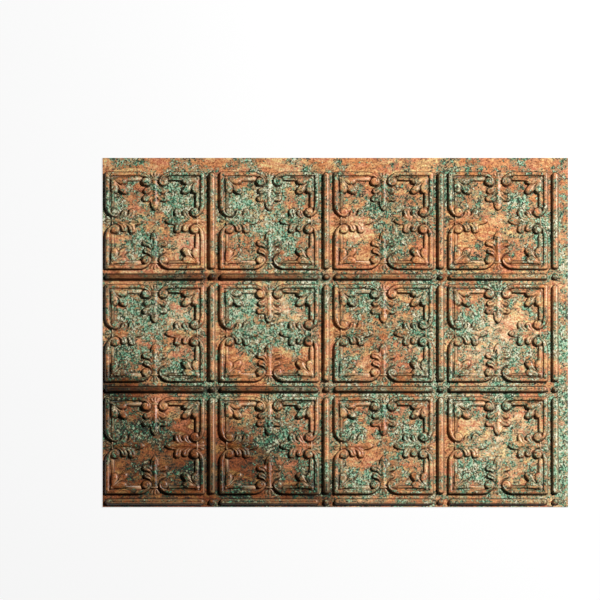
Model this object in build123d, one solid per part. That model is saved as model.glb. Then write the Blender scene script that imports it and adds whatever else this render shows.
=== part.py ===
from build123d import *
import os
from math import cos, radians, sin, tan

# A vinyl backsplash panel, pressed like an old tin ceiling: four squares by three in one thin sheet.
# The warm sheet is drawn over a mould, so each raised form keeps the sheet's thickness and is hollow
# behind. It lies face up, the way it goes on a bench: X across the wall, Y up the wall, and the back
# on z = 0, under the middle of the sheet. All sizes are in millimetres, angles in degrees.

# The sheet: the squares are six inches apart, and plain laps are left along the top and right edges
COLUMNS = 4
ROWS = 3
PITCH = 152.4
SHEET = 0.76
TOP_LAP = 16.0
SIDE_LAP = 10.5
TRIM = 6.7           # from the middle of the lowest rods to the cut edge
DRAFT = 20.0         # lean of every pressed wall from upright
CROWN = 50.0         # lean of the second slope, where a rod or stud rounds over

# The half-round rods between the squares, and the studs where they would cross
ROD_LENGTH = 132.4
ROD_WIDTH = 9.4
ROD_NOSE = 2.6       # length of the rounded nose at each end
ROD_WALL = 3.6       # height of the steep part of the side
ROD_CROWN = 1.6      # height of the rounded part above it
STUD_WIDTH = 9.2
STUD_WALL = 3.2
STUD_CROWN = 1.6
STUD_SIDES = 8

# The frame of each square: four corner brackets whose rails end in scrolls
FRAME_WIDTH = 133.6
FRAME_CORNER = 2.2
RAIL_WIDTH = 13.5
RAIL_HEIGHT = 4.4
GROOVE_LINE = 7.6    # from the foot of the rail's outer wall to the middle of the groove
GROOVE_WIDTH = 5.0
GROOVE_DEPTH = 1.8
SCROLL_OFFSET = 11.2  # scroll's eye from the middle of the side, on the line of the rail's inner wall
SCROLL_RADIUS = 6.8
SCROLL_START = 20.0   # where the rail's outer line leaves the straight, from the middle of the side
SCROLL_STEPS = 4      # straight stretches in half a turn of the scroll
SWEEP_STEPS = 3       # and in the sweep that leads into it

# The three-lobed leaf in each corner, and the palmette from the middle of each side
LEAF_REACH = 16.9
PALMETTE_TIP = 13.4   # from the middle of the square
PALMETTE_LENGTH = 40.6
PALMETTE_WIDTH = 35.0
PALMETTE_HEIGHT = 2.6

panel_width = COLUMNS * PITCH + SIDE_LAP
panel_height = ROWS * PITCH + TOP_LAP
frame_half = FRAME_WIDTH / 2
rail_inner = frame_half - RAIL_WIDTH
# A leaning wall of even thickness has its hollow this far inside the foot of its face
hollow_inset = SHEET * (1 - sin(radians(DRAFT))) / cos(radians(DRAFT))


def inset(points, distance):
    """A closed outline, drawn anticlockwise, moved inward with its corners kept sharp."""
    moved = []
    for before, here, after in zip(points[-1:] + points[:-1], points, points[1:] + points[:1]):
        into = (Vector(*here) - Vector(*before)).normalized()
        away = (Vector(*after) - Vector(*here)).normalized()
        aside = Vector(-into.Y - away.Y, into.X + away.X) * (distance / (1 + into.dot(away)))
        moved.append((here[0] + aside.X, here[1] + aside.Y))
    return moved


def flat_sided(low, high):
    """A solid between two level outlines with as many corners, closed by flat walls."""
    walls = [[low[i - 1], low[i], high[i], high[i - 1]] for i in range(len(low))]
    return Solid(Shell([Face(Wire.make_polygon(corners)) for corners in [low, high] + walls]))


def slope(points, bottom, height, lean):
    top = inset(points, height * tan(radians(lean)))
    return flat_sided([(x, y, bottom) for x, y in points], [(x, y, bottom + height) for x, y in top])


def pressed(points, wall, crown=0.0):
    """A form drawn up from its outline: leaning walls, and a flatter slope where it rounds over."""
    form = slope(points, 0, wall, DRAFT)
    if crown:
        form += slope(inset(points, wall * tan(radians(DRAFT))), wall, crown, CROWN)
    return form


def bracket_outline():
    """One corner of the frame, in the quarter where X and Y are positive, even about the diagonal."""
    left = SCROLL_OFFSET - SCROLL_RADIUS
    side = [(frame_half - FRAME_CORNER, frame_half)]
    for step in range(SWEEP_STEPS):
        turn = radians(90 + 90 * step / SWEEP_STEPS)
        side.append((SCROLL_START + (SCROLL_START - left) * cos(turn), rail_inner + RAIL_WIDTH * sin(turn)))
    for step in range(SCROLL_STEPS + 1):
        turn = radians(180 + 180 * step / SCROLL_STEPS)
        side.append((SCROLL_OFFSET + SCROLL_RADIUS * cos(turn), rail_inner + SCROLL_RADIUS * sin(turn)))
    # the leaf: the end of the lobe along the rail, the notch, and the lobe on the diagonal
    for back, down in ((1.02, 0.0), (0.81, 0.2), (0.585, 0.24), (0.82, 0.39), (0.99, 0.64), (1.0, 0.93)):
        side.append((rail_inner - back * LEAF_REACH, rail_inner - down * LEAF_REACH))
    return side + [(y, x) for x, y in reversed(side)]


def rail_hollow():
    """The channel behind one bracket, from one scroll's sweep round the corner to the other's."""
    out, back = frame_half - hollow_inset, rail_inner + hollow_inset
    side = [(out - FRAME_CORNER, out), (SCROLL_START, out), (SCROLL_START, back)]
    return side + [(back, back)] + [(y, x) for x, y in reversed(side)]


def rail_groove():
    """The vee that parts the rail's two beads, mitred at the corner, as a solid to take away."""
    middle = frame_half - GROOVE_LINE
    lines = []
    for aside, depth in ((GROOVE_WIDTH / 2, 0), (0, GROOVE_DEPTH), (-GROOVE_WIDTH / 2, 0)):
        at, level = middle + aside, RAIL_HEIGHT - depth
        lines.append([(SCROLL_START, at, level), (at, at, level), (at, SCROLL_START, level)])
    outer, bottom, inner = lines
    faces = [[outer[0], bottom[0], inner[0]], [outer[2], bottom[2], inner[2]], outer + inner[::-1]]
    for leg in range(2):
        faces += [[line[leg], line[leg + 1], bottom[leg + 1], bottom[leg]] for line in (outer, inner)]
    return Solid(Shell([Face(Wire.make_polygon(corners)) for corners in faces]))


def palmette_outline():
    """A leaf of two pairs of lobes and a tip, pointing from the top side to the middle of the square."""
    half = [(0.3, 0.16), (0.354, 0.3), (0.886, 0.31), (1.0, 0.446), (0.63, 0.547)]
    half += [(0.9, 0.667), (0.79, 0.763), (0.24, 0.865), (0.206, 1.0)]
    right = [(x * PALMETTE_WIDTH / 2, PALMETTE_TIP + y * PALMETTE_LENGTH) for x, y in half]
    return [(0, PALMETTE_TIP)] + right + [(-x, y) for x, y in reversed(right)]


def rod_outline(length, width, nose):
    """A bar with cut-back noses at both ends, lying along X."""
    quarter = [(length / 2, width / 2 - nose), (length / 2 - nose, width / 2)]
    half = quarter + [(-x, y) for x, y in reversed(quarter)]
    return half + [(-x, -y) for x, y in half]


def stud_outline():
    turns = [radians(360 * side / STUD_SIDES) for side in range(STUD_SIDES)]
    return [(STUD_WIDTH / 2 * cos(turn), STUD_WIDTH / 2 * sin(turn)) for turn in turns]


# One square's raised forms, about its middle; the rods and the stud stand to the right of it and below
quarter_turns = [Rot(0, 0, 90 * turn) for turn in range(4)]
groove = rail_groove()
bracket = pressed(bracket_outline(), RAIL_HEIGHT) - groove
palmette = pressed(palmette_outline(), PALMETTE_HEIGHT)
rod = pressed(rod_outline(ROD_LENGTH, ROD_WIDTH, ROD_NOSE), ROD_WALL, ROD_CROWN)
stud = pressed(stud_outline(), STUD_WALL, STUD_CROWN)
rod_right = Pos(PITCH / 2, 0, 0) * Rot(0, 0, 90)
rod_below = Pos(0, -PITCH / 2, 0)
raised = [turn * form for turn in quarter_turns for form in (bracket, palmette)]
raised += [rod_right * rod, rod_below * rod, Pos(PITCH / 2, -PITCH / 2, 0) * stud]

# The hollows that the mould leaves behind the rails and the rods, one sheet's thickness below the face
channel = pressed(rail_hollow(), RAIL_HEIGHT) - groove
slot_long, slot_wide = ROD_LENGTH / 2 - ROD_NOSE - hollow_inset, ROD_WIDTH / 2 - hollow_inset
slot_end = [(slot_long, -slot_wide), (slot_long, slot_wide)]
slot = pressed(slot_end + [(-x, -y) for x, y in slot_end], ROD_WALL, ROD_CROWN)
hollows = [turn * channel for turn in quarter_turns] + [rod_right * slot, rod_below * slot]

# The sheet is cut so that each panel laps over the plain margin of the one to its left and below
left_edge, bottom_edge = -panel_width / 2, -panel_height / 2
middles = [
    Pos(left_edge + PITCH / 2 - TRIM + column * PITCH, bottom_edge + PITCH / 2 + TRIM + row * PITCH, 0)
    for column in range(COLUMNS)
    for row in range(ROWS)
]
panel = Box(panel_width, panel_height, SHEET, align=(Align.CENTER, Align.CENTER, Align.MIN))
panel += [Pos(0, 0, SHEET) * (middle * form) for middle in middles for form in raised]
panel -= [middle * hollow for middle in middles for hollow in hollows]

os.makedirs("parts", exist_ok=True)
export_step(panel, "parts/panel.step")
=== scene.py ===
from math import asin, cos, pi, radians, sin

import bmesh
import bpy
import numpy as np
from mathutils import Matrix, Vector


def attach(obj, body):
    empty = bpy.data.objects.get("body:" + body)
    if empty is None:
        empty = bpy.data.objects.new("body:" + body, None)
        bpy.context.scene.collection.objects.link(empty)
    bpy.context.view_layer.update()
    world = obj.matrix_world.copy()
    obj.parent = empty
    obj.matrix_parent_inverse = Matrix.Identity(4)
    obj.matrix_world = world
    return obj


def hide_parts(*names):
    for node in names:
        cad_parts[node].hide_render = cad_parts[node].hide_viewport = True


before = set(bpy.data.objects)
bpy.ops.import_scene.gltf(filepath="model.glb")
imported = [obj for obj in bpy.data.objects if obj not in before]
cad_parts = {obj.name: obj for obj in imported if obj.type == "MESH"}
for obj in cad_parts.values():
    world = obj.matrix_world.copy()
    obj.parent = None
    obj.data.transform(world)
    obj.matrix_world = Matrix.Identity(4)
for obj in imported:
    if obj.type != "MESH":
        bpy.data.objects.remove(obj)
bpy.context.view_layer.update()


# The panel is one sheet of rigid vinyl, warmed and drawn over a mould, so its face is one skin that
# rises over every form and its back follows the face. Twelve like squares stand in it, with a plain
# lap along the top and right edges. Sizes are in millimetres until the mesh is made.
mm = 0.001
pitch = 152.4
columns, rows = 4, 3
trim = 6.7            # from the middle of the lowest rods to the cut edge
sheet = 0.76
top_lap, side_lap = 16.0, 10.5
panel_width = columns * pitch + side_lap
panel_height = rows * pitch + top_lap

# The mould is drawn in strokes, each a line with a half width and a height, and a number for how flat
# its crown is. A point is (off the middle of the side, out from the middle of the square, half width,
# height). One eighth of a square is drawn, and the rest mirrors it.
rod = (4, [(0, 76.2, 4.7, 5.2), (61.5, 76.2, 4.7, 5.2)])
stud = (3.4, [(76.2, 76.2, 4.6, 4.8), (76.2, 76.2, 4.6, 4.8)])
rail_bed = (6, [(60, 60, 5.6, 1.8), (17, 60, 5.6, 1.8)])
inner_bead = (3.6, [(56.2, 56.2, 2.7, 3.3), (17, 56.2, 2.7, 3.3)])
outer_bead = (3.6, [
    (63.3, 63.3, 3.5, 4.4), (44, 63.3, 3.5, 4.4), (24, 63.3, 3.5, 4.4), (18.5, 62.9, 3.5, 4.4),
    (14, 61.4, 3.4, 4.4), (10.2, 58.6, 3.2, 4.4), (7.9, 55.4, 3.1, 4.4), (7.4, 52.6, 3.0, 4.4),
])
scroll = (6, [(11.3, 53.3, 7.1, 4.6), (11.3, 53.3, 7.1, 4.6)])
collar = (2.6, [(0, 56.6, 1.5, 2.5), (4, 56.6, 1.5, 2.5)])
fan_middle = (2.5, [(0, 58, 1.4, 1.5), (0, 64.2, 2.2, 1.8)])
fan_side = (2.5, [(1.5, 58.5, 1.4, 1.5), (4.4, 63.4, 2.2, 1.7)])
palmette_bed = (6, [
    (0, 55, 3.6, 2.2), (0, 50, 4.4, 2.4), (0, 46, 6.4, 2.5), (0, 41.5, 9.0, 2.6), (0, 36, 9.6, 2.6),
    (0, 32, 9.2, 2.6), (0, 29, 7.0, 2.5),
])
palmette_stem = (3, [
    (0, 54, 3.2, 2.8), (0, 46, 3.3, 3.4), (0, 36, 3.3, 3.7), (0, 27, 3.1, 3.6), (0, 20, 2.4, 3.4),
])
palmette_tip = (6, [(0, 27, 5.0, 2.9), (0, 23, 5.9, 3.1), (0, 18.9, 4.6, 3.0), (0, 15.2, 1.8, 2.4)])
upper_lobe = (6, [
    (3, 46.5, 2.8, 2.5), (5.5, 43.6, 3.4, 2.9), (8.3, 41.4, 4.2, 3.3), (11, 40.6, 4.6, 3.4),
])
lower_lobe = (6, [
    (2, 36.5, 2.8, 2.5), (4.8, 33.2, 3.8, 2.9), (8.8, 30.8, 4.7, 3.3), (12.4, 30.2, 4.9, 3.4),
])
leaf_body = (5, [(57, 57, 4.0, 3.8), (51, 51, 4.8, 3.6)])
leaf_side = (4.5, [
    (54, 54.6, 4.6, 4.5), (49, 54.2, 5.3, 4.9), (44.5, 53.6, 5.9, 5.1), (41.4, 53.8, 5.5, 4.9),
])
leaf_middle = (5, [
    (53, 53, 4.4, 4.5), (47, 47, 4.8, 4.4), (42.8, 42.8, 5.7, 4.4), (40.1, 40.1, 4.9, 4.0),
])
leaf_knob = (2.4, [(57.5, 57.5, 2.8, 5.1), (57.5, 57.5, 2.8, 5.1)])
mould = [
    rod, stud, rail_bed, inner_bead, outer_bead, scroll, collar, fan_middle, fan_side, palmette_bed,
    palmette_stem, palmette_tip, upper_lobe, lower_lobe, leaf_body, leaf_side, leaf_middle, leaf_knob,
]
# Lines graved into the mould, with a depth in place of the height: the turn of the scroll, the veins of
# the leaves and the gaps between petals
scroll_turn = (2, [
    (18.2, 54.6, 1.3, 1.9), (17.2, 57.4, 1.3, 2.2), (14.2, 59, 1.2, 1.9), (10.9, 58, 1.1, 1.3),
    (8.7, 55.8, 1.0, 0.9), (8.3, 53, 1.0, 0.7), (9.8, 50.7, 0.9, 0.6), (12.2, 50.3, 0.9, 0.4),
])
upper_vein = (2, [(3.4, 49, 0.9, 0.4), (4.2, 46, 0.9, 0.7), (7.2, 42.5, 1.0, 1.1), (11.6, 40.8, 1.1, 1.2)])
lower_vein = (2, [(3.6, 40, 0.9, 0.4), (3.8, 36, 0.9, 0.7), (7, 31.8, 1.1, 1.1), (12.4, 29.9, 1.3, 1.2)])
lobe_gap = (2, [(4.2, 41.5, 0.8, 0.4), (6.5, 37.8, 0.9, 0.8), (9.5, 35.7, 1.0, 1.6)])
tip_vein = (2, [(3.6, 31, 0.9, 0.8), (3.3, 27, 1.0, 1.0), (2.6, 22, 0.8, 0.5)])
side_vein = (2, [(51, 56.2, 0.9, 0.4), (46, 56, 1.2, 0.5), (41.5, 55.4, 1.2, 0.4)])
middle_vein = (2, [(50, 50, 0.9, 0.4), (44, 44, 1.2, 0.5), (40, 40, 1.0, 0.3)])
fan_gap = (2, [(1.5, 59, 0.7, 0.4), (2.3, 64.5, 0.8, 0.9)])
leaf_crease = (2, [
    (54, 55.5, 0.8, 0.4), (50.5, 51.6, 1.1, 1.4), (46.5, 48.6, 1.2, 2.2), (43.5, 47.6, 1.1, 1.6),
])
graved = [
    scroll_turn, upper_vein, lower_vein, lobe_gap, tip_vein, side_vein, middle_vein, fan_gap, leaf_crease,
]
grid_step = 0.3
draw_radius = 0.28    # how far the sheet bridges a sharp corner of the mould


def smooth_line(points, steps=6):
    """The points of a stroke with an even curve through them."""
    p = np.array(points, float)
    p = np.vstack([2 * p[0] - p[1], p, 2 * p[-1] - p[-2]])
    t = np.linspace(0, 1, steps, endpoint=False)[:, None]
    line = []
    for a, b, c, d in zip(p[:-3], p[1:-2], p[2:-1], p[3:]):
        slope, bend, twist = (c - a) / 2, a - 2.5 * b + 2 * c - d / 2, 1.5 * (b - c) + (d - a) / 2
        line.append(b + t * (slope + t * (bend + t * twist)))
    return np.vstack(line + [p[-2][None]])


def over_quarter(strokes, size):
    """Heights of some strokes over a quarter of a square, on a grid that starts at the square's middle."""
    count = int(size / grid_step) + 2
    height = np.zeros((count, count))
    for flatness, points in strokes:
        line = smooth_line(points)
        for start, end in zip(line[:-1], line[1:]):
            reach = max(start[2], end[2])
            low = np.minimum(start[:2], end[:2]) - reach
            high = np.maximum(start[:2], end[:2]) + reach
            i0, j0 = np.clip(np.floor(low / grid_step).astype(int), 0, count - 1)
            i1, j1 = np.clip(np.ceil(high / grid_step).astype(int) + 1, 0, count)
            off, out = np.meshgrid(np.arange(i0, i1) * grid_step, np.arange(j0, j1) * grid_step)
            run = end[:2] - start[:2]
            along = ((off - start[0]) * run[0] + (out - start[1]) * run[1]) / max(run @ run, 1e-9)
            along = np.clip(along, 0, 1)
            away = np.hypot(off - start[0] - along * run[0], out - start[1] - along * run[1])
            half = start[2] + along * (end[2] - start[2])
            crown = start[3] + along * (end[3] - start[3])
            form = crown * (1 - np.minimum(away / half, 1) ** flatness)
            height[j0:j1, i0:i1] = np.maximum(height[j0:j1, i0:i1], form)
    return np.maximum(height, height.T)


quarter = over_quarter(mould, pitch / 2 + trim) - over_quarter(graved, pitch / 2 + trim)
margin = 0.4          # left plain around the grid, and filled out to the square's cell further on
short_side = int((pitch / 2 - trim - margin) / grid_step)
long_side = int((pitch / 2 + trim - margin) / grid_step)
across = np.arange(-short_side, long_side + 1)
upward = np.arange(-long_side, short_side + 1)
relief = np.maximum(quarter, 0)[np.abs(upward)[:, None], np.abs(across)[None, :]]
reach = int(3 * draw_radius / grid_step)
weights = np.exp(-0.5 * (np.arange(-reach, reach + 1) * grid_step / draw_radius) ** 2)
weights /= weights.sum()
for axis in (0, 1):
    relief = np.apply_along_axis(
        lambda row: np.convolve(np.pad(row, reach), weights, "valid"), axis, relief)
flat_below = 0.015
relief[relief < flat_below] = 0

# The square is meshed finely, then thinned to few faces where it is flat and many where it turns
faces_per_square = 7600
x, y = np.meshgrid(across * grid_step, upward * grid_step)
vertices = np.stack([x, y, relief], axis=-1).reshape(-1, 3) * mm
wide, tall = len(across), len(upward)
corner = (np.arange(tall - 1)[:, None] * wide + np.arange(wide - 1)[None, :]).ravel()
quads = np.stack([corner, corner + 1, corner + wide + 1, corner + wide], axis=1)
fine = bpy.data.meshes.new("fine_square")
fine.vertices.add(len(vertices))
fine.vertices.foreach_set("co", vertices.ravel())
fine.loops.add(quads.size)
fine.loops.foreach_set("vertex_index", quads.ravel())
fine.polygons.add(len(quads))
fine.polygons.foreach_set("loop_start", np.arange(len(quads)) * 4)
fine.update(calc_edges=True)
square = bpy.data.objects.new("square", fine)
bpy.context.scene.collection.objects.link(square)
thin = square.modifiers.new("thin", "DECIMATE")
thin.ratio = faces_per_square / (2 * len(quads))
thinned = bpy.data.meshes.new_from_object(square.evaluated_get(bpy.context.evaluated_depsgraph_get()))
square.modifiers.remove(thin)

# The flat ground around the square is filled out to the four corners of its cell
ground = bmesh.new()
ground.from_mesh(thinned)
for vertex in ground.verts:
    vertex.co.z = min(max(vertex.co.z, 0), relief.max() * mm)
border = [edge for edge in ground.edges if edge.is_boundary]
low, high = -(pitch / 2 - trim) * mm, (pitch / 2 + trim) * mm
cell = [ground.verts.new((*at, 0)) for at in ((low, -high), (high, -high), (high, -low), (low, -low))]
border += [ground.edges.new((cell[i - 1], cell[i])) for i in range(4)]
bmesh.ops.triangle_fill(ground, edges=border, use_beauty=True)
bmesh.ops.recalc_face_normals(ground, faces=ground.faces)
if sum(face.normal.z for face in ground.faces) < 0:
    bmesh.ops.reverse_faces(ground, faces=ground.faces)
ground.to_mesh(thinned)
ground.free()
square.data = thinned

# The squares are set out over the sheet, the laps added, and the back made one sheet's thickness below
layout = bpy.data.node_groups.new("lay_out_squares", "GeometryNodeTree")
layout.interface.new_socket("Geometry", in_out="INPUT", socket_type="NodeSocketGeometry")
layout.interface.new_socket("Geometry", in_out="OUTPUT", socket_type="NodeSocketGeometry")
sizes = {}
for name, kind, value in (
    ("Columns", "NodeSocketInt", columns), ("Rows", "NodeSocketInt", rows),
    ("Pitch", "NodeSocketFloat", pitch * mm), ("Trim", "NodeSocketFloat", trim * mm),
    ("Top Lap", "NodeSocketFloat", top_lap * mm), ("Side Lap", "NodeSocketFloat", side_lap * mm),
    ("Sheet", "NodeSocketFloat", sheet * mm), ("Printed Face", "NodeSocketMaterial", None),
    ("Plain Back", "NodeSocketMaterial", None),
):
    sizes[name] = (layout.interface.new_socket(name, in_out="INPUT", socket_type=kind).identifier, value)


def add_node(tree, kind, links=(), **settings):
    """A node with its settings, its inputs fed from other nodes' sockets or set to plain values."""
    node = tree.nodes.new(kind)
    for name, value in settings.items():
        setattr(node, name, value)
    for socket, source in dict(links).items():
        if isinstance(source, bpy.types.NodeSocket):
            tree.links.new(source, node.inputs[socket])
        else:
            node.inputs[socket].default_value = source
    return node


def worked(tree, operation, a, b=0.0):
    return add_node(tree, "ShaderNodeMath", {0: a, 1: b}, operation=operation).outputs[0]


def place(x, y, z):
    return add_node(layout, "ShaderNodeCombineXYZ", {"X": x, "Y": y, "Z": z}).outputs[0]


def plain_grid(width, height, columns_of, rows_of, centre):
    grid = add_node(layout, "GeometryNodeMeshGrid", {
        "Size X": width, "Size Y": height, "Vertices X": columns_of, "Vertices Y": rows_of})
    return add_node(layout, "GeometryNodeTransform", {
        "Geometry": grid.outputs["Mesh"], "Translation": centre}).outputs["Geometry"]


size_in = add_node(layout, "NodeGroupInput").outputs
level = size_in["Sheet"]
face_width = worked(layout, "MULTIPLY", size_in["Columns"], size_in["Pitch"])
face_height = worked(layout, "MULTIPLY", size_in["Rows"], size_in["Pitch"])
face_x = worked(layout, "MULTIPLY", size_in["Side Lap"], -0.5)
face_y = worked(layout, "MULTIPLY", size_in["Top Lap"], -0.5)
lap_x = worked(layout, "MULTIPLY", face_width, 0.5)
lap_y = worked(layout, "MULTIPLY", face_height, 0.5)
columns_of_points = worked(layout, "ADD", size_in["Columns"], 1)
rows_of_points = worked(layout, "ADD", size_in["Rows"], 1)
middles_width = worked(layout, "SUBTRACT", face_width, size_in["Pitch"])
middles_height = worked(layout, "SUBTRACT", face_height, size_in["Pitch"])
middles_x = worked(layout, "SUBTRACT", face_x, size_in["Trim"])
middles_y = worked(layout, "ADD", face_y, size_in["Trim"])
middles = plain_grid(
    middles_width, middles_height, size_in["Columns"], size_in["Rows"], place(middles_x, middles_y, level))
squares = add_node(layout, "GeometryNodeInstanceOnPoints", {
    "Points": middles, "Instance": size_in["Geometry"]}).outputs["Instances"]
squares = add_node(layout, "GeometryNodeRealizeInstances", {"Geometry": squares}).outputs["Geometry"]
top = plain_grid(face_width, size_in["Top Lap"], columns_of_points, 2, place(face_x, lap_y, level))
side = plain_grid(size_in["Side Lap"], face_height, 2, rows_of_points, place(lap_x, face_y, level))
both = plain_grid(size_in["Side Lap"], size_in["Top Lap"], 2, 2, place(lap_x, lap_y, level))
weld = 0.02 * mm
skin = add_node(layout, "GeometryNodeJoinGeometry")
for part in (squares, top, side, both):
    layout.links.new(part, skin.inputs["Geometry"])
face = add_node(layout, "GeometryNodeMergeByDistance", {
    "Geometry": skin.outputs["Geometry"], "Distance": weld}).outputs["Geometry"]
face = add_node(layout, "GeometryNodeSetShadeSmooth", {
    "Geometry": face, "Shade Smooth": True}).outputs["Geometry"]
down = place(0, 0, worked(layout, "MULTIPLY", level, -1))
below = add_node(layout, "GeometryNodeExtrudeMesh", {
    "Mesh": face, "Offset": down, "Offset Scale": 1.0, "Individual": False})
back = add_node(layout, "GeometryNodeSetShadeSmooth", {
    "Geometry": below.outputs["Mesh"], "Selection": below.outputs["Side"], "Shade Smooth": False})
back = add_node(layout, "GeometryNodeFlipFaces", {"Mesh": back.outputs["Geometry"]}).outputs["Mesh"]
whole = add_node(layout, "GeometryNodeJoinGeometry")
for part in (face, back):
    layout.links.new(part, whole.inputs["Geometry"])
whole = add_node(layout, "GeometryNodeMergeByDistance", {
    "Geometry": whole.outputs["Geometry"], "Distance": weld}).outputs["Geometry"]
whole = add_node(layout, "GeometryNodeRealizeInstances", {"Geometry": whole}).outputs["Geometry"]
whole = add_node(layout, "GeometryNodeSetMaterial", {
    "Geometry": whole, "Material": size_in["Printed Face"]}).outputs["Geometry"]
facing = add_node(layout, "GeometryNodeInputNormal").outputs["Normal"]
facing_up = add_node(layout, "ShaderNodeSeparateXYZ", {0: facing}).outputs["Z"]
turned_away = worked(layout, "LESS_THAN", facing_up, 0.1)
whole = add_node(layout, "GeometryNodeSetMaterial", {
    "Geometry": whole, "Selection": turned_away, "Material": size_in["Plain Back"]}).outputs["Geometry"]
add_node(layout, "NodeGroupOutput", {"Geometry": whole})


def shown(red, green, blue):
    """A colour as it is seen on a screen, 0 to 255, turned to linear light."""
    return tuple(((c / 255 + 0.055) / 1.055) ** 2.4 for c in (red, green, blue)) + (1,)


def shades(tree, value, stops):
    """Colours along a value, from (where, colour) pairs."""
    ramp = add_node(tree, "ShaderNodeValToRGB", {"Fac": value})
    while len(ramp.color_ramp.elements) < len(stops):
        ramp.color_ramp.elements.new(1)
    for stop, (where, colour) in zip(ramp.color_ramp.elements, stops):
        stop.position = where
        stop.color = colour
    return ramp.outputs["Color"]


def noise(tree, where, scale, detail=5, roughness=0.6, distortion=0.0):
    return add_node(tree, "ShaderNodeTexNoise", {
        "Vector": where, "Scale": scale, "Detail": detail, "Roughness": roughness,
        "Distortion": distortion})


def blend(tree, factor, a, b, how="MIX"):
    node = add_node(tree, "ShaderNodeMix", {0: factor, 6: a, 7: b}, data_type="RGBA", blend_type=how)
    return node.outputs[2]


def ranged(tree, value, low, high, to_low=0.0, to_high=1.0, how="LINEAR"):
    node = add_node(tree, "ShaderNodeMapRange", {
        "Value": value, "From Min": low, "From Max": high, "To Min": to_low, "To Max": to_high},
        interpolation_type=how)
    return node.outputs["Result"]


def weighted(tree, *parts, start=0.0):
    """The sum of some values, each times its own weight."""
    total = start
    for value, weight in parts:
        links = {0: value, 1: weight, 2: total}
        total = add_node(tree, "ShaderNodeMath", links, operation="MULTIPLY_ADD").outputs[0]
    return total


# The face is printed as aged copper: a cloudy copper ground, browner at the lower left and paler at the
# right, with blooms of verdigris made of specks of dark green, teal, grey green and white
printed = bpy.data.materials.new("aged_copper_print")
printed.use_nodes = True
ink = printed.node_tree
on_sheet = add_node(ink, "ShaderNodeTexCoord").outputs["Object"]


def worked_vector(operation, links, output=0):
    return add_node(ink, "ShaderNodeVectorMath", links, operation=operation).outputs[output]


stir_reach = 45 * mm
stir = noise(ink, on_sheet, 22, 4, 0.6).outputs["Color"]
stir = worked_vector("SUBTRACT", {0: stir, 1: (0.5, 0.5, 0.5)})
stirred = worked_vector("ADD", {0: on_sheet, 1: worked_vector("SCALE", {0: stir, "Scale": stir_reach})})


def clouds(spots):
    """The sum of soft round clouds, each (from the left edge, down from the top edge, radius), in mm."""
    total = 0.0
    for from_left, from_top, radius in spots:
        middle = ((from_left - panel_width / 2) * mm, (panel_height / 2 - from_top) * mm, 0)
        away = worked_vector("DISTANCE", {0: stirred, 1: middle}, "Value")
        total = worked(ink, "ADD", total, ranged(ink, away, radius * mm, 0, how="SMOOTHSTEP"))
    return total


# Where the print changes over the sheet
blooms = clouds([
    (12, 68, 32), (55, 114, 34), (108, 48, 46), (180, 70, 40), (226, 36, 32), (280, 32, 30), (240, 100, 45),
    (368, 70, 34), (388, 112, 26), (462, 45, 46), (550, 62, 24), (590, 100, 35), (430, 170, 30),
    (520, 166, 30), (93, 168, 30), (58, 212, 48), (30, 270, 36), (100, 290, 30), (182, 194, 34),
    (200, 240, 36), (245, 242, 34), (280, 178, 36), (352, 190, 36), (425, 232, 40), (488, 228, 30),
    (550, 268, 26), (600, 250, 28), (146, 316, 36), (14, 332, 28), (22, 374, 36), (66, 374, 34),
    (250, 318, 42), (318, 286, 26), (368, 330, 32), (408, 373, 34), (440, 300, 36), (470, 330, 34),
    (528, 325, 34), (612, 330, 40), (230, 380, 40), (330, 370, 26), (115, 426, 34), (60, 415, 18),
    (182, 462, 30), (285, 432, 40), (345, 436, 38), (498, 430, 42), (545, 462, 26), (612, 430, 45),
    (616, 140, 26), (616, 205, 24), (616, 265, 24), (616, 380, 30),
])
bares = clouds([
    (225, 5, 28), (352, 8, 34), (520, 3, 30), (5, 20, 18), (75, 3, 30), (133, 97, 30), (85, 140, 26),
    (125, 136, 28), (165, 142, 26), (178, 156, 22), (28, 162, 28), (310, 140, 22), (350, 138, 26),
    (386, 170, 22), (430, 136, 30), (475, 104, 26), (512, 98, 28), (535, 145, 30), (596, 186, 26),
    (310, 230, 26), (155, 245, 18), (175, 268, 24), (235, 276, 26), (275, 274, 26), (360, 276, 26),
    (200, 316, 22), (38, 314, 18), (75, 337, 24), (2, 280, 20), (110, 366, 30), (155, 364, 30),
    (60, 397, 24), (110, 394, 30), (160, 396, 30), (177, 418, 22), (15, 436, 30), (128, 458, 28),
    (350, 398, 24), (470, 362, 30), (460, 398, 30), (598, 283, 22), (218, 442, 18), (492, 452, 18),
    (320, 90, 28), (352, 96, 26), (545, 225, 26), (150, 5, 28), (290, 5, 24), (430, 5, 30), (590, 5, 24),
])
browns = clouds([(55, 425, 185), (190, 435, 140), (10, 305, 70), (285, 462, 60)])
pales = clouds([
    (520, 240, 90), (530, 385, 85), (120, 120, 45), (210, 75, 50), (250, 200, 50), (110, 210, 40),
    (186, 212, 42), (342, 92, 36), (620, 150, 50), (620, 260, 50), (620, 385, 60),
])
oranges = clouds([(400, 20, 190), (500, 130, 80), (190, 290, 50), (120, 150, 60)])

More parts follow.
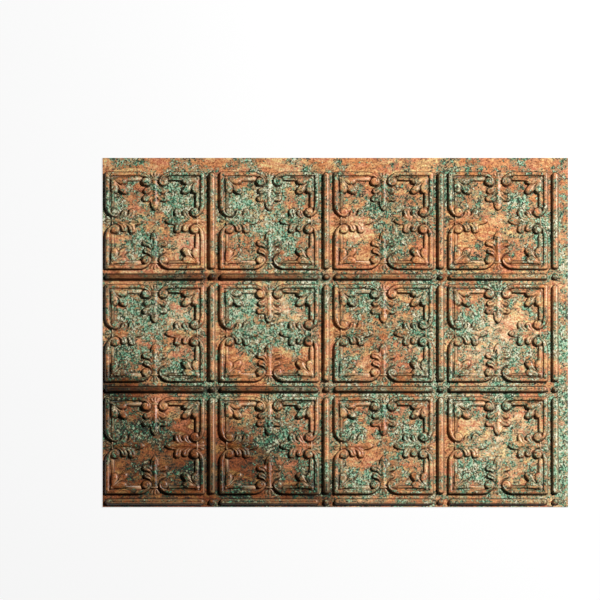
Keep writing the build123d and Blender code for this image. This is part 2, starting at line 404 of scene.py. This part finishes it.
# The copper ground, redder on the raised forms
cloudy = noise(ink, on_sheet, 14, 9, 0.62, 1.2).outputs["Fac"]
streaks = add_node(ink, "ShaderNodeMapping", {
    "Vector": on_sheet, "Rotation": (0, 0, radians(35)), "Scale": (1, 3, 1)}).outputs["Vector"]
streaky = noise(ink, streaks, 40, 9, 0.68, 1.4).outputs["Fac"]
tone = weighted(ink, (cloudy, 0.8), (streaky, 0.8), (browns, -0.14), (pales, 0.26), start=-0.215)
copper = shades(ink, tone, [
    (0.16, shown(98, 46, 18)), (0.36, shown(146, 84, 44)), (0.5, shown(192, 122, 76)),
    (0.64, shown(216, 158, 110)), (0.78, shown(234, 194, 148)), (0.95, shown(244, 216, 180)),
])
copper = blend(ink, ranged(ink, oranges, 0.1, 1.0, 0.0, 0.45), copper, shown(204, 128, 74))
rosy = noise(ink, streaks, 17, 6, 0.6, 1.6).outputs["Fac"]
copper = blend(ink, ranged(ink, rosy, 0.52, 0.61, 0.0, 0.7), copper, shown(214, 138, 104))
copper = blend(ink, ranged(ink, rosy, 0.48, 0.39, 0.0, 0.7), copper, shown(234, 198, 138))
rub_shade_and_height = add_node(ink, "ShaderNodeAttribute", attribute_name="rub_shade_and_height").outputs["Color"]
rub_shade_and_height = add_node(ink, "ShaderNodeSeparateColor", {"Color": rub_shade_and_height}).outputs
copper = blend(ink, worked(ink, "MULTIPLY", rub_shade_and_height["Blue"], 0.15), copper, shown(206, 126, 74))
tarnish = weighted(ink, (browns, 1), (streaky, 1.6))
copper = blend(ink, ranged(ink, tarnish, 1.1, 1.75, 0.0, 0.85), copper, shown(140, 114, 64), "MULTIPLY")
oxide = noise(ink, on_sheet, 55, 9, 0.72, 0.6).outputs["Fac"]
copper = blend(ink, ranged(ink, oxide, 0.52, 0.64, 0.0, 0.65), copper, shown(112, 56, 24))
grain = noise(ink, on_sheet, 480, 3, 0.75).outputs["Fac"]
copper = blend(ink, 0.8, copper, shades(ink, grain, [
    (0.36, shown(36, 26, 20)), (0.5, shown(188, 186, 184)), (0.64, shown(255, 250, 238))]), "OVERLAY")

# The verdigris: every speck is one cell, and there are more of them towards the middle of a bloom. Specks
# gather in teal clumps and ashen ones, and a bloom's rim is stained dark
cells = add_node(ink, "ShaderNodeTexVoronoi", {"Vector": on_sheet, "Scale": 620, "Randomness": 1.0})
chance = add_node(ink, "ShaderNodeSeparateColor", {"Color": cells.outputs["Color"]}).outputs
ragged = noise(ink, on_sheet, 75, 10, 0.72).outputs["Fac"]
crowd = weighted(ink, (blooms, 0.42), (bares, -0.42), (ragged, 2.2))
crowd = ranged(ink, crowd, 0.98, 1.32, 0.01, 0.9)
speck = worked(ink, "LESS_THAN", chance["Red"], crowd)
rim = worked(ink, "MULTIPLY", ranged(ink, crowd, 0.1, 0.3), ranged(ink, crowd, 0.65, 0.35))
copper = blend(ink, worked(ink, "MULTIPLY", rim, 0.32), copper, shown(70, 52, 30))
wash = blend(ink, ranged(ink, browns, 0.2, 0.9), shown(158, 150, 112), shown(82, 64, 36))
copper = blend(ink, worked(ink, "MULTIPLY", crowd, 0.85), copper, wash)
clump = noise(ink, on_sheet, 110, 4, 0.65).outputs["Fac"]
thick = ranged(ink, crowd, 0.5, 0.9)
lightness = weighted(
    ink, (chance["Green"], 1), (browns, -0.34), (pales, 0.12), (oranges, -0.2), (rim, -0.25), (thick, 0.12))
ashen = shades(ink, lightness, [
    (0.0, shown(14, 12, 3)), (0.3, shown(60, 52, 28)), (0.46, shown(146, 134, 96)),
    (0.66, shown(198, 184, 144)), (0.96, shown(248, 238, 212)),
])
teal = shades(ink, lightness, [
    (0.0, shown(0, 12, 4)), (0.36, shown(2, 50, 32)), (0.58, shown(42, 112, 82)),
    (0.8, shown(114, 170, 134)), (0.97, shown(168, 208, 174)),
])
tealness = worked(ink, "MAXIMUM", ranged(ink, clump, 0.4, 0.53, 0.15, 1.0), rim)
verdigris = blend(ink, tealness, ashen, teal)
colour = blend(ink, worked(ink, "MULTIPLY", speck, 0.94), copper, verdigris)

# Crests are rubbed to bright copper with a painted highlight, and painted shade darkens the steep walls,
# the creases at their feet and the rods between the rows, most at the left
# Painted highlight with the rub: crests lightened to pale copper
colour = blend(ink, worked(ink, "MULTIPLY", rub_shade_and_height["Red"], 0.65), colour, shown(250, 204, 152))
# Painted shade: walls and the creases at their feet darkened
colour = blend(ink, rub_shade_and_height["Green"], colour, shown(84, 44, 24), "MULTIPLY")
# Painted shade: a dark band over the rods between the rows, strongest at the left
on_plan = add_node(ink, "ShaderNodeSeparateXYZ", {0: on_sheet}).outputs
above_rods = worked(ink, "ADD", on_plan["Y"], (panel_height / 2 - trim) * mm)
from_rods = worked(ink, "PINGPONG", above_rods, pitch / 2 * mm)
between_rows = worked(ink, "LESS_THAN", worked(ink, "ABSOLUTE", on_plan["Y"]), pitch * mm)
rod_shade_edge, rod_shade_full = 6.4 * mm, 4.6 * mm
rod_shade_right, rod_shade_left = 250 * mm, -150 * mm
on_rods = worked(ink, "MULTIPLY", between_rows, ranged(ink, from_rods, rod_shade_edge, rod_shade_full))
rod_row_painted_shade = worked(ink, "MULTIPLY", on_rods, ranged(ink, on_plan["X"], rod_shade_right, rod_shade_left, 0.1, 0.8))
# The painted shade along the rod rows is laid over the colour
colour = blend(ink, rod_row_painted_shade, colour, shown(118, 88, 62), "MULTIPLY")
print_shader = ink.nodes["Principled BSDF"]
print_shader.inputs["Specular IOR Level"].default_value = 0.4
ink.links.new(colour, print_shader.inputs["Base Color"])
dull = ranged(ink, weighted(ink, (crowd, 0.22), (cloudy, 0.25)), 0.0, 0.5, 0.34, 0.66)
ink.links.new(weighted(ink, (dull, 1), (rub_shade_and_height["Blue"], -0.06)), print_shader.inputs["Roughness"])
pits = weighted(ink, (speck, 0.5), (grain, 1))
bump = add_node(ink, "ShaderNodeBump", {"Height": pits, "Strength": 0.22, "Distance": 0.2 * mm})
ink.links.new(bump.outputs["Normal"], print_shader.inputs["Normal"])

# The back and the cut edges are the bare vinyl, off white and faintly grained
bare = bpy.data.materials.new("bare_vinyl")
bare.use_nodes = True
stock = bare.node_tree
in_stock = add_node(stock, "ShaderNodeTexCoord").outputs["Object"]
mottle = noise(stock, in_stock, 30, 6, 0.6).outputs["Fac"]
bare_shader = stock.nodes["Principled BSDF"]
stock.links.new(shades(stock, mottle, [
    (0.3, shown(196, 190, 178)), (0.7, shown(212, 207, 196))]), bare_shader.inputs["Base Color"])
stock.links.new(ranged(stock, mottle, 0.3, 0.7, 0.45, 0.6), bare_shader.inputs["Roughness"])
peel = noise(stock, in_stock, 700, 2, 0.5).outputs["Fac"]
bump = add_node(stock, "ShaderNodeBump", {"Height": peel, "Strength": 0.3, "Distance": 0.1 * mm})
stock.links.new(bump.outputs["Normal"], bare_shader.inputs["Normal"])

# The tree gets its sizes and materials, and its result becomes a plain mesh
setting_out = square.modifiers.new("setting_out", "NODES")
setting_out.node_group = layout
sizes["Printed Face"] = (sizes["Printed Face"][0], printed)
sizes["Plain Back"] = (sizes["Plain Back"][0], bare)
for identifier, value in sizes.values():
    setting_out[identifier] = value
panel_mesh = bpy.data.meshes.new_from_object(square.evaluated_get(bpy.context.evaluated_depsgraph_get()))
bpy.data.objects.remove(square)

# The shading follows the mould's own slope, so that the thinned faces don't show and flat ground stays flat
corners = np.zeros(len(panel_mesh.loops), np.int32)
panel_mesh.loops.foreach_get("vertex_index", corners)
points = np.zeros(len(panel_mesh.vertices) * 3)
panel_mesh.vertices.foreach_get("co", points)
points = points.reshape(-1, 3) / mm
faces = len(panel_mesh.polygons)
face_normals, face_sides = np.zeros(faces * 3), np.zeros(faces, np.int32)
panel_mesh.polygons.foreach_get("normal", face_normals)
panel_mesh.polygons.foreach_get("loop_total", face_sides)
normals = np.repeat(face_normals.reshape(-1, 3), face_sides, axis=0)
from_left = points[:, 0] + panel_width / 2
from_low = points[:, 1] + panel_height / 2
in_cell_x = from_left - np.clip(from_left // pitch, 0, columns - 1) * pitch - (pitch / 2 - trim)
in_cell_y = from_low - np.clip(from_low // pitch, 0, rows - 1) * pitch - (pitch / 2 + trim)
spot_x = np.clip(np.rint(in_cell_x / grid_step).astype(int) + short_side, 0, wide - 1)
spot_y = np.clip(np.rint(in_cell_y / grid_step).astype(int) + long_side, 0, tall - 1)
rise_y, rise_x = np.gradient(relief, grid_step)
smooth = np.stack([-rise_x[spot_y, spot_x], -rise_y[spot_y, spot_x], np.ones(len(points))], axis=1)
smooth /= np.linalg.norm(smooth, axis=1, keepdims=True)
level_face, cut_face = 0.9985, 0.01
curved = (np.abs(normals[:, 2]) < level_face) & (np.abs(normals[:, 2]) > cut_face)
normals[curved] = smooth[corners[curved]] * np.sign(normals[curved, 2:])
panel_mesh.normals_split_custom_set(normals)

# Rub, painted light and height are kept with the mesh. Red is the rub and painted highlight on crests,
# where the sheet turns over sharply or stands highest; green is painted shade on walls, more on those that
# face up or down the sheet, and in the turn at their feet; blue is the height, against that of the rails
rail_height, rub_and_highlight_height, wall_slope = 4.4, 4.7, 0.6
turn = np.gradient(rise_x, grid_step, axis=1) + np.gradient(rise_y, grid_step, axis=0)
steep = np.hypot(rise_x, rise_y)
# Red: the rub on crests, with a painted highlight along them and on the highest tops
edge_rub_and_highlight = np.clip(-turn * 0.5 - 0.5, 0, 1)
top_rub_and_highlight = np.clip((relief - rub_and_highlight_height) * 1.6, 0, 0.25)
# Green: painted shade on steep walls, most where they face up or down, and in the creases at their feet
shade_facing_weight = 0.5 + 0.5 * np.abs(rise_y) / np.maximum(steep, 1e-6)
wall_painted_shade = np.clip(steep - wall_slope, 0, 1) * shade_facing_weight
foot_painted_shade = np.clip(turn * 0.3 - 0.1, 0, 0.8)
rub_shade_and_height_shown = np.zeros((len(corners), 4))
for channel, worn in enumerate((np.maximum(edge_rub_and_highlight, top_rub_and_highlight), np.maximum(wall_painted_shade, foot_painted_shade))):
    rub_shade_and_height_shown[curved, channel] = worn[spot_y, spot_x][corners[curved]]
rub_shade_and_height_shown[:, 2] = np.clip(relief / rail_height, 0, 1)[spot_y, spot_x][corners]
panel_mesh.attributes.new("rub_shade_and_height", "FLOAT_COLOR", "CORNER").data.foreach_set("color", rub_shade_and_height_shown.ravel())

panel = bpy.data.objects.new("embossed_sheet", panel_mesh)
bpy.context.scene.collection.objects.link(panel)
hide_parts("panel")
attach(panel, "root")


# A plain white floor that the sheet lies on, with a hair's breadth between them. It shows white to the
# camera and in gloss, and keeps a part of the sheet's shadow.
floor_reach, floor_level = 4.0, -0.5 * mm
floor_mesh = bpy.data.meshes.new("floor")
floor_sides = ((-1, -1), (1, -1), (1, 1), (-1, 1))
floor_corners = [(x * floor_reach, y * floor_reach, floor_level) for x, y in floor_sides]
floor_mesh.from_pydata(floor_corners, [], [(0, 1, 2, 3)])
floor = bpy.data.objects.new("floor", floor_mesh)
bpy.context.scene.collection.objects.link(floor)
white = bpy.data.materials.new("white_floor")
white.use_nodes = True
boards = white.node_tree
painted = boards.nodes["Principled BSDF"]
painted.inputs["Base Color"].default_value = (0.98, 0.98, 0.98, 1)
painted.inputs["Roughness"].default_value = 0.9
glow = add_node(boards, "ShaderNodeEmission", {"Color": (1, 1, 1, 1), "Strength": 1.0})
rays = add_node(boards, "ShaderNodeLightPath").outputs
seen = worked(boards, "MAXIMUM", rays["Is Camera Ray"], rays["Is Glossy Ray"])
seen = worked(boards, "MAXIMUM", seen, rays["Is Transmission Ray"])
shadow_kept = 0.25
whitened = worked(boards, "MULTIPLY", seen, 1 - shadow_kept)
mixed = add_node(boards, "ShaderNodeMixShader", {0: whitened, 1: painted.outputs[0], 2: glow.outputs[0]})
boards.links.new(mixed.outputs[0], boards.nodes["Material Output"].inputs["Surface"])
floor_mesh.materials.append(white)


# One soft lamp, on the right and a little up the sheet, and an even room light that shows white past the
# floor. Together they light level ground so that a colour renders about as it is written.
key_from, key_height = 28, 43
key_distance, key_width = 3.0, 0.16
room_light = 0.03
key_data = bpy.data.lights.new("key", "AREA")
key_data.shape = "DISK"
key_data.size = key_width
key_data.energy = (1 - room_light) * pi ** 2 * key_distance ** 2 / sin(radians(key_height))
key = bpy.data.objects.new("key", key_data)
key_aside, key_up = cos(radians(key_height)), sin(radians(key_height))
key_side = Vector((cos(radians(key_from)) * key_aside, sin(radians(key_from)) * key_aside, key_up))
key.location = key_side * key_distance
key.rotation_euler = (-key.location).to_track_quat("-Z", "Y").to_euler()
bpy.context.scene.collection.objects.link(key)
world = bpy.data.worlds.new("room")
world.use_nodes = True
room = world.node_tree
walls = room.nodes["Background"]
walls.inputs["Color"].default_value = (1, 1, 1, 1)
walls.inputs["Strength"].default_value = room_light
backdrop = add_node(room, "ShaderNodeBackground", {"Color": (1, 1, 1, 1), "Strength": 1.0})
straight = add_node(room, "ShaderNodeLightPath").outputs["Is Camera Ray"]
mixed = add_node(room, "ShaderNodeMixShader", {0: straight, 1: walls.outputs[0], 2: backdrop.outputs[0]})
room.links.new(mixed.outputs[0], room.nodes["World Output"].inputs["Surface"])
bpy.context.scene.world = world


# The camera looks down on the sheet, without perspective, tilted until the sheet is as wide and as high
# in the picture as in the photograph. The picture and the sheet in it are measured in pixels.
picture = 600
pixels_across, pixels_up = 465.48, 349.1
sheet_left, sheet_top = 102.57, 157.9
camera_distance = 2.0
view_scale = pixels_across / (panel_width * mm)
tilt = asin(pixels_up / (panel_height * mm) / view_scale)
look_x = (picture / 2 - sheet_left) / view_scale - panel_width / 2 * mm
look_up = (sheet_top - picture / 2) / view_scale + panel_height / 2 * mm * sin(tilt)
camera_data = bpy.data.cameras.new("camera")
camera_data.type = "ORTHO"
camera_data.ortho_scale = picture / view_scale
camera = bpy.data.objects.new("camera", camera_data)
up = Vector((0, sin(tilt), cos(tilt)))
toward = Vector((0, -cos(tilt), sin(tilt)))
camera.location = Vector((look_x, 0, sheet * mm)) + up * look_up + toward * camera_distance
camera.rotation_euler = (-toward).to_track_quat("-Z", "Y").to_euler()
bpy.context.scene.collection.objects.link(camera)
bpy.context.scene.camera = camera
bpy.context.scene.view_settings.view_transform = "Standard"
